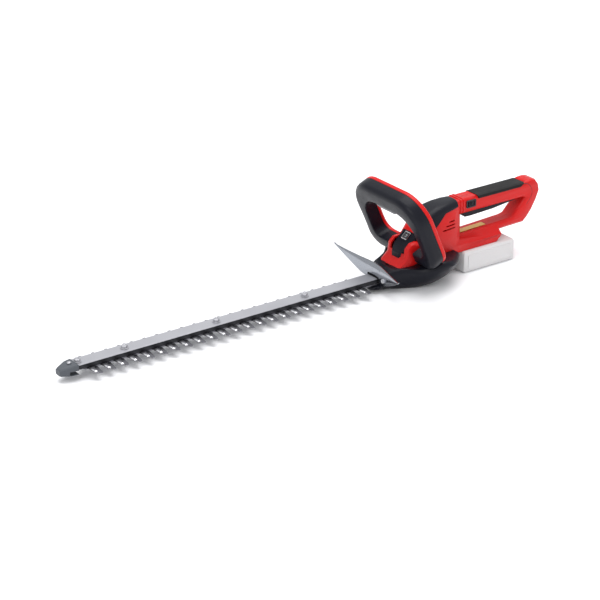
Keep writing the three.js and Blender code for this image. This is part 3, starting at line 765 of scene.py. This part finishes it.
@dataclass
class Guards:
    """The tip guard, the winged hand guard and their screws."""

    half: float = 91.0
    centre_x: float = -126.0
    sweep: float = 18.0
    droop: float = 6.5
    thickness: float = 2.6
    top: float = 47.5
    top_rise: float = 7.0  # how much higher the tips are
    crease_share: float = 0.6
    lip: float = 5.0  # how far the upper edge leans back in the middle
    low_edge: tuple[Point, ...] = (
        (0, 28), (0.16, 28), (0.19, 20.5), (0.33, 21.5), (0.44, 25), (0.63, 33.5), (0.86, 45.5), (1, 54))

    def build(self) -> None:
        """Models and places the guards."""
        finished_copy("tip_guard", SLATE, rounding=0.8)
        self.screw("tip_guard_screw", Matrix.Identity(4))
        self.hand_guard()
        self.screw("guard_screw", Matrix.Rotation(radians(90), 4, "Y"))

    def section(self, share: float, low: float) -> list[Vector]:
        """Gives the plate's section at a share of the half span.

        Args:
            share: From -1 at the right tip to 1 at the left one.
            low: Height of the lower edge before the droop.

        Returns:
            The corners of the section.
        """
        a = abs(share)
        x = self.centre_x + self.sweep * a ** 1.6
        low = low - self.droop * share
        high = max(low + 2, self.top + self.top_rise * a ** 3 - self.droop * share)
        crease = low + (high - low) * self.crease_share
        lip = self.lip * (1 - a)
        y = share * self.half
        back = x - self.thickness
        profile = [(x, low), (x, crease), (x - lip * 0.35, crease + (high - crease) * 0.5), (x - lip, high),
                   (x - lip - self.thickness, high - 0.6), (back, crease), (back, low)]
        return [Vector((px, y, z)) for px, z in profile]

    def hand_guard(self) -> None:
        """Models the bent plate with its two wings."""
        right = smooth_path(self.low_edge, 6)
        rows = [(-a, z) for a, z in reversed(right)] + [(a, z) for a, z in right[1:]]
        bm = loft([self.section(share, low) for share, low in rows])
        soften(bm, 0.5, 2, 50)
        place("hand_guard_pressed", bm, GUARD_GREY, stands_for=["hand_guard"])

    @staticmethod
    def screw(node: str, turn: Matrix) -> None:
        """Models a screw head where a design node has it.

        Args:
            node: The design node.
            turn: Turns the head from z up to its own axis.
        """
        low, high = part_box(node)
        axis = turn @ UP
        centre = (low + high) / 2
        reach = abs((high - low) @ axis) / MM
        radius = sorted(high - low)[1] / MM / 2
        height = min(SCREW_HEAD, reach)
        head = socket_screw(radius, height)
        foot = centre + axis * (reach / 2 - height) * MM
        spot = Matrix.Translation(foot) @ turn @ Matrix.Scale(MM, 4)
        place(f"{node}_head", head, ZINC, stands_for=[node], turn=spot)


# ---- base bowl ----


@dataclass
class BaseBowl:
    """The dark bowl under the drive."""

    wall: float = 2.8
    round_share: float = 0.45
    belly_steps: int = 6
    weld: float = 1.3
    rim_roll: tuple[Point, ...] = ((0.6, -2.2), (-0.6, -0.5), (-2.4, 0.0))  # from the rim's top
    stations: tuple[tuple[float, ...], ...] = (
        (-114, 5, 4, 14, 8, 13, 10.5, 0),
        (-123, 3, 6, 19, 9, 18, 12.5, 0),
        (-129.6, 2, 6.6, 23, 12, 20, 15, 0),
        (-132, 1.5, 7, 26, 22, 23, 33, 0),
        (-141, 0, 9, 29, 24, 26, 37, 0),
        (-152, 0, 13, 34, 24, 31, 39.5, 0),
        (-168, 0, 22, 41, 26, 38, 41, 20),
        (-190, 0, 33, 57, 31, 53, 40.2, 27),
        (-205, 0, 35, 70, 36, 66, 46, 30),
        (-221, 0, 35, 78, 44, 75, 53, 30),
        (-242, 6, 33, 77, 44, 73, 51, 30),
        (-262, 19, 31, 63, 42, 60, 49, 28),
        (-277, 33, 30, 48, 42, 45, 48.5, 26),
    )

    def section(self, row: Sequence[float]) -> list[Vector]:
        """Gives one open section, from the deck's inner edge round the keel to the other side.

        Args:
            row: x, keel height, flat, full and bulge, rim and top, and the deck's inner half width.

        Returns:
            The section's points.
        """
        x, keel, flat, full, bulge, rim, top, inner = row
        belly = []
        for step in range(self.belly_steps + 1):
            share, a = step / self.belly_steps, radians(90 / self.belly_steps * step)
            out = self.round_share * sin(a) + (1 - self.round_share) * share
            rise = self.round_share * (1 - cos(a)) + (1 - self.round_share) * share
            belly.append((flat + (full - flat) * out, keel + (bulge - keel) * rise))
        shoulder = [(full - (full - rim) * 0.25, bulge + (top - bulge) * 0.5)]
        shoulder += [(rim + out, top + up) for out, up in self.rim_roll] + [(max(inner, 0.6), top)]
        half = [(0.0, keel), (flat * 0.6, keel)] + belly + shoulder
        left = [Vector((x, y, z)) for y, z in half]
        return [Vector((x, -y, z)) for y, z in reversed(half[1:])] + left

    def build(self) -> None:
        """Models the bowl as a skin, and gives it its wall."""
        rows = [(row[0], max(row[1], 0.0), *row[2:]) for row in smooth_path(self.stations, 5)]
        bm = loft([self.section(row) for row in rows], capped=False, closed=False)
        ends = [min(v.co.x for v in bm.verts), max(v.co.x for v in bm.verts)]
        for end in ends:
            rail = [e for e in bm.edges if e.is_boundary and all(abs(v.co.x - end) < 0.01 for v in e.verts)]
            bmesh.ops.contextual_create(bm, geom=rail)
        bmesh.ops.remove_doubles(bm, verts=bm.verts, dist=self.weld)
        face_outwards(bm)
        bowl = place("base_bowl", bm, CHARCOAL, stands_for=["base_shell"], crease=40)
        wall = bowl.modifiers.new("wall", "SOLIDIFY")
        wall.thickness = self.wall * MM
        wall.offset = -1


# ---- bail handle ----


@dataclass
class BailHandle:
    """The leaning front loop: a dark front shell, a red rear shell and the switch bar."""

    lean: float = 24.0
    foot: Spot = (-219.5, 0, 20)
    half: float = 91.0
    inner: float = 68.0
    top: float = 176.2
    inner_top: float = 146.0
    bottom: float = 31.0
    inner_bottom: float = 57.0
    depth: float = 16.0
    seam: float = -8.0
    outer_radii: Point = (50.0, 30.0)
    inner_radii: Point = (40.0, 16.0)
    gap_half: float = 34.8
    bar_half: float = 27.0
    pocket: Point = (-6.4, 13.4)
    pocket_depth: float = 10.5
    seam_gap: float = 0.25
    front_round: tuple[Point, Point] = ((0.5, 10.0), (0.4, 2.2))
    rear_round: tuple[Point, Point] = ((3.5, 0.5), (6.5, 0.5))
    bar_gap: float = 0.4
    bar_heights: Point = (-8.5, 6.0)  # from the underside of the top bar
    bar_chamfer: Point = (5.0, 3.0)
    plane: Matrix = field(init=False)

    def __post_init__(self) -> None:
        """Works out the plane that the loop is drawn in."""
        a = radians(self.lean)
        columns = ((0, 1, 0), (sin(a), 0, cos(a)), (cos(a), 0, -sin(a)))
        basis = Matrix(columns).transposed().to_4x4()
        self.plane = DRAWING @ Matrix.Translation(self.foot) @ basis

    def rail(self, half: float, bottom: float, top: float, radii: Point) -> list[Point]:
        """Gives the loop's line from the left foot over the top to the right foot.

        Args:
            half: Half width.
            bottom: Height of the feet.
            top: Height of the top bar.
            radii: Radii of the upper and lower corners.

        Returns:
            The line's points.
        """
        high, low = radii
        quarter = [radians(d) for d in range(0, 91, 9)]
        corner = [(half - low + low * sin(a), bottom + low - low * cos(a)) for a in quarter]
        side = [(half, bottom + low + (top - high - bottom - low) * k / 4) for k in range(1, 4)]
        bend = [(half - high + high * cos(a), top - high + high * sin(a)) for a in quarter]
        bridge = [(y, top) for y in (self.bar_half + 0.5, 21.0, 14.0, 7.0)]
        left = [(self.gap_half, bottom)] + corner + side + bend + bridge
        return left + [(0.0, top)] + [(-y, w) for y, w in reversed(left)]

    def shell(self, profile: Callable[[Vector, Vector], list[Vector]]) -> Solid:
        """Sweeps a section round the loop.

        Args:
            profile: Gives the section between an outer and an inner point.

        Returns:
            The closed shell.
        """
        outer = self.rail(self.half, self.bottom, self.top, self.outer_radii)
        inner = self.rail(self.inner, self.inner_bottom, self.inner_top, self.inner_radii)
        return loft([profile(Vector((*o, 0)), Vector((*i, 0))) for o, i in zip(outer, inner)])

    @staticmethod
    def section(outer: Vector, inner: Vector, low: float, high: float, round_out: Point, round_in: Point,
                stops: Sequence[float] = ()) -> list[Vector]:
        """Gives a section whose corners are rounded by their own radii.

        Args:
            outer: Its outer point in the loop's plane.
            inner: Its inner point.
            low: Its rear face.
            high: Its front face.
            round_out: Radii at the outer side, at the rear and at the front.
            round_in: Radii at the inner side, at the rear and at the front.
            stops: Extra depths that get a point on the inner side.

        Returns:
            The section's points.
        """
        along = (inner - outer).normalized()
        width = (inner - outer).length
        points: list[Vector] = []

        def corner(across: float, face: float, radius: float, sx: int, sz: int, start: float) -> None:
            """Adds one round corner to the section.

            Args:
                across: Place of the corner from the outer side.
                face: Its depth.
                radius: Its radius.
                sx: Which side of its centre it is on, across.
                sz: The same in depth.
                start: The angle that it starts at.
            """
            for k in range(5):
                a = radians(start + 22.5 * k)
                u = across - sx * radius + radius * cos(a)
                n = face - sz * radius + radius * sin(a)
                points.append(outer + along * u + Vector((0, 0, n)))

        corner(0, low, round_out[0], -1, -1, 180)
        corner(width, low, round_in[0], 1, -1, 270)
        points.extend(inner + Vector((0, 0, n)) for n in stops)
        corner(width, high, round_in[1], 1, 1, 0)
        corner(0, high, round_out[1], -1, 1, 90)
        return points

    def build(self) -> None:
        """Models the two shells, the switch bar and what lies behind it."""
        front = self.shell(lambda o, i: self.section(o, i, self.seam + self.seam_gap, self.depth,
                                                     *self.front_round, self.pocket))
        front.normal_update()
        roof = [f for f in front.faces
                if abs(f.calc_center_median().y - self.inner_top) < 0.3
                and abs(f.calc_center_median().x) < self.bar_half + 0.6
                and self.pocket[0] < f.calc_center_median().z < self.pocket[1]]
        grown = bmesh.ops.extrude_face_region(front, geom=roof)
        bmesh.ops.translate(front, verts=[g for g in grown["geom"] if isinstance(g, bmesh.types.BMVert)],
                            vec=(0, self.pocket_depth, 0))
        bmesh.ops.delete(front, geom=[f for f in roof if f.is_valid], context="FACES_ONLY")
        face_outwards(front)
        place("bail_front_shell", front, CHARCOAL, stands_for=["bail_front"], turn=self.plane)

        rear = self.shell(lambda o, i: self.section(o, i, -self.depth, self.seam - self.seam_gap,
                                                    *self.rear_round))
        place("bail_rear_shell", rear, RED_NYLON, stands_for=["bail_rear"], turn=self.plane)
        self.switch_bar()

    def switch_bar(self) -> None:
        """Models the bar that the fingers press."""
        low, high = (self.inner_top + rise for rise in self.bar_heights)
        half, (run, fall) = self.bar_half - self.bar_gap, self.bar_chamfer
        back, face = self.pocket[0] + self.bar_gap, self.pocket[1] - self.bar_gap
        left = [(-half, high), (-half, low + fall), (-half + run, low)]
        corners = [Vector((*p, back)) for p in left + [(-y, w) for y, w in reversed(left)]]
        bar = prism(corners, Vector((0, 0, face - back)), 1.5, 3)
        soften(bar, 2.8, 4, 50, lambda e: all(v.co.y < high - 2 for v in e.verts))
        place("bail_bar_pressed", bar, PADDLE_GREY, Body.BAIL_BAR, ["bail_switch_bar"], self.plane)
        dress("bail_switch", CONTROL_BLACK)


# ---- red body ----


@dataclass
class RedBody:
    """The two moulded halves of the body, the dark covers on them and their fasteners."""

    badge_centre: Spot = (-195.5, 0, 84.5)
    badge_tilt: float = 43.8
    badge_half: float = 7.4
    badge_frame: float = 1.5
    badge_thickness: float = 1.3
    # the dark strip along the rear loop's parting line is painted shade of its groove
    groove_shade_path: tuple[Point, ...] = (
        (-447, 130.4), (-457, 127), (-464, 119), (-466.5, 109), (-463, 100), (-454, 89))
    groove_shade_width: float = 0.8
    seam_face: float = 16.6
    groove_shade_lift: float = 0.55
    collar_x: tuple[float, ...] = (-301.5, -307.5)
    collar_half: float = 17.9
    collar_top: float = 132.0
    collar_foot: float = 107.0
    collar_radius: float = 6.0
    rib_wall: float = 1.6
    rib_width: float = 3.2

    def build(self) -> None:
        """Finishes the halves and the covers, and models the badge and the screws."""
        finished_copy("housing_left", RED_NYLON)
        finished_copy("housing_right", RED_NYLON)
        finished_copy("saddle_cover", CHARCOAL)
        finished_copy("front_cap", CHARCOAL, rounding=0.5)
        self.badge()
        for number, x in enumerate(self.collar_x, start=1):
            self.collar_rib(number, x)
        # painted groove shade along the rear loop's parting line, on both flanks
        for side in (1, -1):
            self.seam(side)
        for number in (1, 2, 3):
            self.housing_screw(f"housing_screw_{number}")

    def collar_rib(self, number: int, x: float) -> None:
        """Models one raised rib of the collar, a bow over the top and both sides of the grip.

        Args:
            number: Its number from the front.
            x: Its front edge.
        """
        bow = []
        for grow, order in ((0.0, 1), (-self.rib_wall, -1)):
            half, top = self.collar_half + grow, self.collar_top + grow
            radius = self.collar_radius + grow
            bend = [(half - radius + radius * cos(a), top - radius + radius * sin(a))
                    for a in (radians(d) for d in range(0, 91, 15))]
            side = [(half, self.collar_foot)] + bend
            bow += (side + [(-y, z) for y, z in reversed(side)])[::order]
        rib = prism([Vector((x, y, z)) for y, z in bow], Vector((-self.rib_width, 0, 0)))
        soften(rib, 0.45, 2, 60)
        place(f"collar_rib_{number}", rib, RED_NYLON)

    def seam(self, side: int) -> None:
        """Models the parting line of the rear loop on one flank as a thin, slightly raised dark strip:
        painted shade that stands in for the shade in the groove.

        Args:
            side: 1 on the left flank, -1 on the right one.
        """
        path = smooth_path(self.groove_shade_path, 5)
        rings = []
        for i, (x, z) in enumerate(path):
            before, after = path[max(i - 1, 0)], path[min(i + 1, len(path) - 1)]
            across = Vector((-(after[1] - before[1]), 0, after[0] - before[0])).normalized()
            across = across * self.groove_shade_width / 2
            foot = Vector((x, side * self.seam_face, z))
            lift = Vector((0, side * self.groove_shade_lift, 0))
            rings.append([foot - across, foot - across * 0.7 + lift,
                          foot + across * 0.7 + lift, foot + across])
        name = "left" if side > 0 else "right"
        place(f"loop_groove_shade_{name}", loft(rings), CONTROL_BLACK)

    def badge(self) -> None:
        """Models the plain square badge: a bright frame and lozenge on a dark ground."""
        h = self.badge_half
        corners = [Vector((sx * h, sy * h, -0.5)) for sx, sy in CORNERS]
        tile = prism(corners, Vector((0, 0, self.badge_thickness)), 1.5, 4)
        recess(tile, UP, self.badge_frame, 0.5).material_index = 1
        lozenge = drum(3.4, 0.1, 0.8, 4, 2.8)
        tilt = Matrix.Rotation(radians(self.badge_tilt), 4, "Y")
        turn = DRAWING @ Matrix.Translation(self.badge_centre) @ tilt
        piece = place("badge_tile", merged(tile, lozenge), SATIN_CHROME, stands_for=["cap_badge"],
                      turn=turn)
        piece.data.materials.append(CONTROL_BLACK.material())

    @staticmethod
    def housing_screw(node: str) -> None:
        """Models one screw head sunk in the right half.

        Args:
            node: The design node.
        """
        low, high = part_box(node)
        head = socket_screw((high.x - low.x) / MM / 2, (high.y - low.y) / MM)
        spot = Vector(((low.x + high.x) / 2, high.y, (low.z + high.z) / 2))
        turn = Matrix.Translation(spot) @ Matrix.Rotation(radians(90), 4, "X") @ Matrix.Scale(MM, 4)
        place(f"{node}_head", head, MACHINED, stands_for=[node], turn=turn)


# ---- rear grip ----


@dataclass
class RearGrip:
    """The rubber pad, the trigger and the lock button."""

    button_x: float = -324.5
    button_z: float = 120.4
    bezel_half: Point = (10.5, 7.0)
    window_half: Point = (7.4, 5.0)
    button_rim: float = 1.1
    dot_radius: float = 2.0
    face_y: float = 17.0

    def square(self, half_x: float, half_z: float, y: float, depth: float,
               corner: float) -> Solid:
        """Makes a rounded plate on the left flank round the button's middle.

        Args:
            half_x: Half its length.
            half_z: Half its height.
            y: Where it starts.
            depth: Its thickness.
            corner: Corner radius.

        Returns:
            The plate.
        """
        x, z = self.button_x, self.button_z
        corners = [Vector((x + sx * half_x, y, z + sz * half_z)) for sx, sz in CORNERS]
        return prism(corners, Vector((0, depth, 0)), corner, 4)

    def build(self) -> None:
        """Finishes the grip's pieces."""
        finished_copy("grip_pad", SOFT_BLACK, rounding=0.5)
        finished_copy("trigger", CHARCOAL, Body.TRIGGER, 0.6)
        dress("trigger_pin", MACHINED)
        dress("trigger_spring", MACHINED)
        dress("main_switch", CONTROL_BLACK)
        self.bezel()
        self.button()

    def bezel(self) -> None:
        """Models the frame round the button as a plate with a real window."""
        plate = self.square(*self.bezel_half, self.face_y + 0.3, 1.8, 2.0)
        outer = [f for f in plate.faces if abs(f.normal.y) > 0.9]
        rim = self.bezel_half[0] - self.window_half[0] - 0.8
        bmesh.ops.inset_individual(plate, faces=outer, thickness=rim, use_even_offset=True)
        loops = [list(f.edges) for f in outer]
        bmesh.ops.delete(plate, geom=outer, context="FACES_ONLY")
        bmesh.ops.bridge_loops(plate, edges=loops[0] + loops[1])
        face_outwards(plate)
        soften(plate, 0.4, 2, 60)
        place("lock_button_bezel", plate, CONTROL_BLACK, stands_for=["lock_bezel"])

    def button(self) -> None:
        """Models the square button with its raised rim and middle dot."""
        half_x, half_z = self.window_half[0] - 0.9, self.window_half[1] - 0.6
        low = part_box("lock_button")[0].y / MM
        body = self.square(half_x, half_z, low, self.face_y + 2.6 - low, 1.0)
        recess(body, Vector((0, 1, 0)), self.button_rim, 0.7)
        soften(body, 0.3, 2, 50)
        dot = drum(self.dot_radius, 0, 1.4, 24)
        soften(dot, 0.4, 2)
        middle = Matrix.Translation((self.button_x, self.face_y + 1.6, self.button_z))
        turn = middle @ Matrix.Rotation(-pi / 2, 4, "X")
        bmesh.ops.transform(dot, matrix=turn, verts=dot.verts)
        place("lock_button_cap", merged(body, dot), CHARCOAL, Body.LOCK_BUTTON, ["lock_button"])


# ---- battery ----


@dataclass
class Battery:
    """The slide-on pack, its latch and the electrics above it."""

    front: float = -297.0
    rear: float = -413.0
    half: float = 37.0
    top: float = 40.0
    frame_in: float = 9.0
    frame_width: float = 2.4
    frame_height: float = 1.2

    def build(self) -> None:
        """Models the pack and finishes what belongs to it."""
        self.pack()
        finished_copy("battery_latch", SLATE, Body.BATTERY_LATCH, 0.8)
        dress("terminal_block", CONTROL_BLACK)
        dress("control_board", BOARD_GREEN)
        self.label()

    def pack(self) -> None:
        """Models the case with the raised frames on its sides."""
        case = copy_of("battery_pack")
        bmesh.ops.transform(case, matrix=DRAWING.inverted(), verts=case.verts)
        parts = [case]
        x0, x1 = self.rear + self.frame_in, self.front - self.frame_in
        z0, z1 = self.frame_in * 0.8, self.top - self.frame_in * 0.7
        for side in (1, -1):
            y = side * (self.half - 0.4)
            corners = [Vector((x, y, z)) for x, z in ((x0, z0), (x1, z0), (x1, z1), (x0, z1))]
            plate = prism(corners, Vector((0, side * (self.frame_height + 0.4), 0)), 3.5, 4)
            recess(plate, Vector((0, side, 0)), self.frame_width, self.frame_height - 0.2)
            face_outwards(plate)
            soften(plate, 0.35, 2, 50)
            parts.append(plate)
        place("battery_case", merged(*parts), PACK_PALE, Body.BATTERY, ["battery_pack"])

    @staticmethod
    def label() -> None:
        """Models the blank amber strip with its thin raised border."""
        strip = copy_of("label_strip")
        recess(strip, UP, 0.9 * MM, 0.15 * MM)
        place("label_blank", strip, LABEL_AMBER, stands_for=["label_strip"], turn=Matrix.Identity(4))


# ---- drive ----


@dataclass
class Drive:
    """The gear, the motor and their bearings, seen only when the tool is opened."""

    finishes: dict[str, Finish] = field(default_factory=lambda: {
        "drive_gear": MACHINED, "gearbox_plate": CASTING, "gear_bearing": ZINC, "gear_bush": COPPER,
        "motor_can": MACHINED, "motor_rotor": COPPER,
        "motor_bearing_lower": ZINC, "motor_bearing_upper": ZINC,
    })

    def build(self) -> None:
        """Dresses every piece of the drive."""
        for node, finish in self.finishes.items():
            dress(node, finish)


# ---- studio ----


@dataclass
class Studio:
    """A pale floor, soft lights and the camera."""

    azimuth: float = 35.362
    elevation: float = 24.076
    distance: float = 3.504
    target: Spot = (0.02455, 0, 0.0208)
    lens: float = 124.98
    floor_size: float = 60.0
    sky: float = 0.82
    overhead: float = 2.2
    front: float = 0.6
    overhead_from: Spot = (-0.1, -0.15, 1.0)
    overhead_spread: float = 55.0
    front_from: Spot = (0.9, 0.55, 0.8)
    front_spread: float = 30.0
    sky_colour: tuple[float, ...] = (0.97, 0.98, 1, 1)

    def build(self) -> None:
        """Sets up the floor, the light and the camera."""
        bm = bmesh.new()
        bmesh.ops.create_grid(bm, x_segments=8, y_segments=8, size=self.floor_size / 2)
        mesh = bpy.data.meshes.new("studio_floor")
        bm.to_mesh(mesh)
        bm.free()
        mesh.materials.append(FLOOR_WHITE.material())
        floor = bpy.data.objects.new("studio_floor", mesh)
        bpy.context.scene.collection.objects.link(floor)
        world = bpy.data.worlds.new("studio_world")
        world.use_nodes = True
        background = world.node_tree.nodes["Background"]
        background.inputs["Color"].default_value = self.sky_colour
        background.inputs["Strength"].default_value = self.sky
        bpy.context.scene.world = world
        bpy.context.scene.view_settings.view_transform = "Standard"
        self.lamp("overhead_light", self.overhead_from, self.overhead_spread, self.overhead)
        self.lamp("front_light", self.front_from, self.front_spread, self.front)
        self.camera()

    @staticmethod
    def lamp(name: str, toward: Spot, spread: float, strength: float) -> None:
        """Hangs one wide, distant, soft light.

        Args:
            name: The light's name.
            toward: The way from the tool to the light.
            spread: How wide the light looks, in degrees.
            strength: Its strength.
        """
        data = bpy.data.lights.new(name, "SUN")
        data.angle = radians(spread)
        data.energy = strength
        lamp = bpy.data.objects.new(name, data)
        lamp.rotation_euler = Vector(toward).to_track_quat("Z", "Y").to_euler()
        bpy.context.scene.collection.objects.link(lamp)

    def camera(self) -> None:
        """Places the camera over the left front quarter."""
        a, e = radians(self.azimuth), radians(self.elevation)
        back = Vector((sin(a) * cos(e), cos(a) * cos(e), sin(e)))
        data = bpy.data.cameras.new("camera")
        data.lens = self.lens
        data.clip_end = 50
        camera = bpy.data.objects.new("camera", data)
        camera.location = Vector(self.target) + back * self.distance
        camera.rotation_euler = back.to_track_quat("Z", "Y").to_euler()
        bpy.context.scene.collection.objects.link(camera)
        bpy.context.scene.camera = camera


def main() -> None:
    """Builds every sub-assembly in order."""
    Studio().build()
    for assembly in (CuttingSet(), Guards(), BaseBowl(), BailHandle(), RedBody(), RearGrip(),
                     Battery(), Drive()):
        log.info("building %s", type(assembly).__name__)
        assembly.build()


if __name__ == "__main__":
    main()
